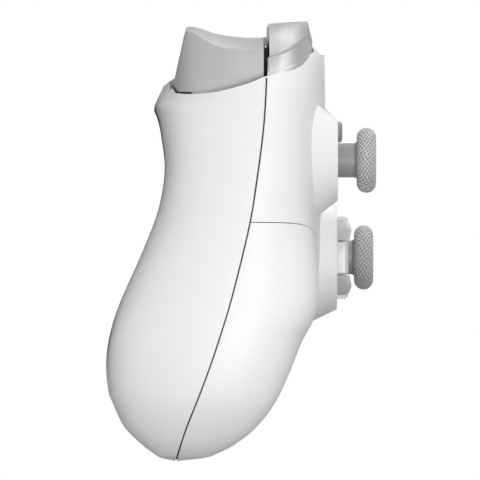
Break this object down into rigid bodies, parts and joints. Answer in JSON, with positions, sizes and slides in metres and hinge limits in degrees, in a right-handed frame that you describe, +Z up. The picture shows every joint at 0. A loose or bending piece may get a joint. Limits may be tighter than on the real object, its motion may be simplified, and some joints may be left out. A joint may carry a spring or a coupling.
{
  "type": "gamepad controller",
  "caption": "Wireless gamepad with offset tilting sticks, a faceted cross pad, pivoting triggers and bumpers, and a two-part white shell.",
  "frame": {"origin": "centre of the bounding box's bottom face, where the pad lies on its back", "axes": "+X to the player's right, +Y from the grips toward the shoulder keys, +Z up out of the face, with the face leaning 11.1 degrees toward +Y"},
  "size_m": [0.1558, 0.111, 0.061],
  "materials": {
    "shell_white": "fine matt texture, white",
    "shell_rear": "fine matt texture, off-white",
    "black_plastic": "matt black",
    "circuit_board": "green solder mask",
    "chip": "matt black",
    "battery_wrap": "dark wrap",
    "steel": "satin",
    "magnet": "plated",
    "screw_steel": "dark zinc",
    "key_grey": "satin light grey",
    "band_silver": "bright metallic lacquer",
    "stick_rubber": "knurled light grey",
    "stick_plastic": "satin grey",
    "white_plastic": "natural",
    "cross_grey": "satin light grey",
    "silicone": "translucent grey",
    "button_grey": "gloss light grey",
    "small_button_grey": "satin grey",
    "light_pipe": "clear white"
  },
  "bodies": {
    "pad": {"front_cover": "shell_white", "left_grip_panel": "shell_white", "right_grip_panel": "shell_white", "rear_cover": "shell_rear", "inner_frame": "black_plastic", "bumper_switches": "black_plastic", "tact_switches": "black_plastic", "cross_posts": "black_plastic", "left_stick_housing": "black_plastic", "right_stick_housing": "black_plastic", "headset_jack": "black_plastic", "main_board": "circuit_board", "board_chips": "chip", "trigger_sensors": "chip", "battery": "battery_wrap", "left_rumble_motor": "steel", "right_rumble_motor": "steel", "usb_c_socket": "steel", "trigger_pins": "steel", "bumper_pins": "steel", "left_trigger_spring": "steel", "right_trigger_spring": "steel", "case_screws": "screw_steel", "cross_mat": "silicone", "face_button_mat": "silicone", "home_light_ring": "light_pipe"},
    "left_trigger": {"left_trigger": "key_grey", "left_trigger_magnet": "magnet"},
    "right_trigger": {"right_trigger": "key_grey", "right_trigger_magnet": "magnet"},
    "left_bumper": {"left_bumper": "key_grey", "left_bumper_band": "band_silver"},
    "right_bumper": {"right_bumper": "key_grey", "right_bumper_band": "band_silver"},
    "left_stick_yoke": {"left_stick_yoke": "steel"},
    "left_stick_rocker": {"left_stick_rocker": "white_plastic"},
    "left_stick": {"left_stick_stem": "stick_plastic", "left_stick_cap": "stick_rubber"},
    "left_rumble_weight": {"left_rumble_weight": "steel"},
    "right_stick_yoke": {"right_stick_yoke": "steel"},
    "right_stick_rocker": {"right_stick_rocker": "white_plastic"},
    "right_stick": {"right_stick_stem": "stick_plastic", "right_stick_cap": "stick_rubber"},
    "right_rumble_weight": {"right_rumble_weight": "steel"},
    "cross_pivot": {"cross_pivot": "steel"},
    "cross_pad": {"cross_pad": "cross_grey"},
    "face_button_upper": {"face_button_upper": "button_grey"},
    "face_button_lower": {"face_button_lower": "button_grey"},
    "face_button_left": {"face_button_left": "button_grey"},
    "face_button_right": {"face_button_right": "button_grey"},
    "home_button": {"home_button": "button_grey"},
    "left_function_button": {"left_function_button": "small_button_grey"},
    "right_function_button": {"right_function_button": "small_button_grey"},
    "capture_button": {"capture_button": "small_button_grey"}
  },
  "joints": [
    {"name": "left_trigger_pull", "type": "hinge", "parent": "pad", "child": "left_trigger", "pos_m": [-0.048, 0.03771, 0.02151], "axis": [-1, 0, 0], "range_deg": [0, 18], "stiffness_Nm_per_rad": 0.04, "springref_deg": -14.32, "deforming": ["left_trigger_spring"]},
    {"name": "left_bumper_press", "type": "hinge", "parent": "pad", "child": "left_bumper", "pos_m": [-0.0239, 0.04278, 0.02918], "axis": [0, 0.1925, 0.9813], "range_deg": [0, 1.4], "stiffness_Nm_per_rad": 1, "springref_deg": -1.15},
    {"name": "right_trigger_pull", "type": "hinge", "parent": "pad", "child": "right_trigger", "pos_m": [0.048, 0.03771, 0.02151], "axis": [-1, 0, 0], "range_deg": [0, 18], "stiffness_Nm_per_rad": 0.04, "springref_deg": -14.32, "deforming": ["right_trigger_spring"]},
    {"name": "right_bumper_press", "type": "hinge", "parent": "pad", "child": "right_bumper", "pos_m": [0.0239, 0.04278, 0.02918], "axis": [0, -0.1925, -0.9813], "range_deg": [0, 1.4], "stiffness_Nm_per_rad": 1, "springref_deg": -1.15},
    {"name": "left_stick_forward", "type": "hinge", "parent": "pad", "child": "left_stick_yoke", "pos_m": [-0.041, 0.02119, 0.03393], "axis": [1, 0, 0], "range_deg": [-13, 13], "stiffness_Nm_per_rad": 0.03},
    {"name": "left_stick_sideways", "type": "hinge", "parent": "left_stick_yoke", "child": "left_stick_rocker", "pos_m": [-0.041, 0.02119, 0.03393], "axis": [0, 0.9813, -0.1925], "range_deg": [-13, 13], "stiffness_Nm_per_rad": 0.03},
    {"name": "left_stick_click", "type": "slide", "parent": "left_stick_rocker", "child": "left_stick", "axis": [0, 0.1925, 0.9813], "range_m": [-0.0005, 0], "stiffness_N_per_m": 1500, "springref_m": 0.0005},
    {"name": "right_stick_forward", "type": "hinge", "parent": "pad", "child": "right_stick_yoke", "pos_m": [0.02, -0.00207, 0.03849], "axis": [1, 0, 0], "range_deg": [-13, 13], "stiffness_Nm_per_rad": 0.03},
    {"name": "right_stick_sideways", "type": "hinge", "parent": "right_stick_yoke", "child": "right_stick_rocker", "pos_m": [0.02, -0.00207, 0.03849], "axis": [0, 0.9813, -0.1925], "range_deg": [-13, 13], "stiffness_Nm_per_rad": 0.03},
    {"name": "right_stick_click", "type": "slide", "parent": "right_stick_rocker", "child": "right_stick", "axis": [0, 0.1925, 0.9813], "range_m": [-0.0005, 0], "stiffness_N_per_m": 1500, "springref_m": 0.0005},
    {"name": "cross_forward", "type": "hinge", "parent": "pad", "child": "cross_pivot", "pos_m": [-0.02, -0.00159, 0.04094], "axis": [1, 0, 0], "range_deg": [-3.5, 3.5], "stiffness_Nm_per_rad": 0.1, "deforming": ["cross_mat"]},
    {"name": "cross_sideways", "type": "hinge", "parent": "cross_pivot", "child": "cross_pad", "pos_m": [-0.02, -0.00159, 0.04094], "axis": [0, 0.9813, -0.1925], "range_deg": [-3.5, 3.5], "stiffness_Nm_per_rad": 0.1, "deforming": ["cross_mat"]},
    {"name": "face_button_upper_press", "type": "slide", "parent": "pad", "child": "face_button_upper", "axis": [0, 0.1925, 0.9813], "range_m": [-0.0013, 0], "stiffness_N_per_m": 500, "springref_m": 0.0008, "deforming": ["face_button_mat"]},
    {"name": "face_button_lower_press", "type": "slide", "parent": "pad", "child": "face_button_lower", "axis": [0, 0.1925, 0.9813], "range_m": [-0.0013, 0], "stiffness_N_per_m": 500, "springref_m": 0.0008, "deforming": ["face_button_mat"]},
    {"name": "face_button_left_press", "type": "slide", "parent": "pad", "child": "face_button_left", "axis": [0, 0.1925, 0.9813], "range_m": [-0.0013, 0], "stiffness_N_per_m": 500, "springref_m": 0.0008, "deforming": ["face_button_mat"]},
    {"name": "face_button_right_press", "type": "slide", "parent": "pad", "child": "face_button_right", "axis": [0, 0.1925, 0.9813], "range_m": [-0.0013, 0], "stiffness_N_per_m": 500, "springref_m": 0.0008, "deforming": ["face_button_mat"]},
    {"name": "home_button_press", "type": "slide", "parent": "pad", "child": "home_button", "axis": [0, 0.1925, 0.9813], "range_m": [-0.0003, 0], "stiffness_N_per_m": 1500, "springref_m": 0.0003},
    {"name": "left_function_button_press", "type": "slide", "parent": "pad", "child": "left_function_button", "axis": [0, 0.1925, 0.9813], "range_m": [-0.0003, 0], "stiffness_N_per_m": 1500, "springref_m": 0.0003},
    {"name": "right_function_button_press", "type": "slide", "parent": "pad", "child": "right_function_button", "axis": [0, 0.1925, 0.9813], "range_m": [-0.0003, 0], "stiffness_N_per_m": 1500, "springref_m": 0.0003},
    {"name": "capture_button_press", "type": "slide", "parent": "pad", "child": "capture_button", "axis": [0, 0.1925, 0.9813], "range_m": [-0.0003, 0], "stiffness_N_per_m": 1500, "springref_m": 0.0003},
    {"name": "left_rumble_spin", "type": "hinge", "parent": "pad", "child": "left_rumble_weight", "pos_m": [-0.066, -0.02161, 0.02041], "axis": [1, 0, 0], "continuous": true},
    {"name": "right_rumble_spin", "type": "hinge", "parent": "pad", "child": "right_rumble_weight", "pos_m": [0.066, -0.02161, 0.02041], "axis": [1, 0, 0], "continuous": true}
  ]
}
